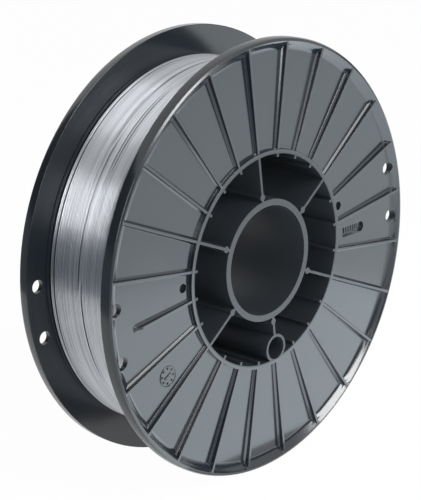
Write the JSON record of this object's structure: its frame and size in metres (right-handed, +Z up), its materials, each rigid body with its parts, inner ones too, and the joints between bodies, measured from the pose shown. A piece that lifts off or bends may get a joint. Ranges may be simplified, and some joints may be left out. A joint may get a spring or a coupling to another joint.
{
  "type": "welding wire spool",
  "caption": "Round plastic spool with two ribbed flanges, a spoked hub with an open bore and a drive pin hole, wound with steel welding wire.",
  "frame": {"origin": "centre of the bore, halfway between the flanges' outer faces", "axes": "+Y along the bore axis, from the front flange to the back one; +Z up as the spool stands on its rims; +X to the right seen from the front"},
  "size_m": [0.2, 0.055, 0.2],
  "materials": {
    "plastic": "satin",
    "wire": "bright drawn"
  },
  "bodies": {
    "root": {"spool": "plastic", "wire_coil": "wire"}
  },
  "joints": []
}
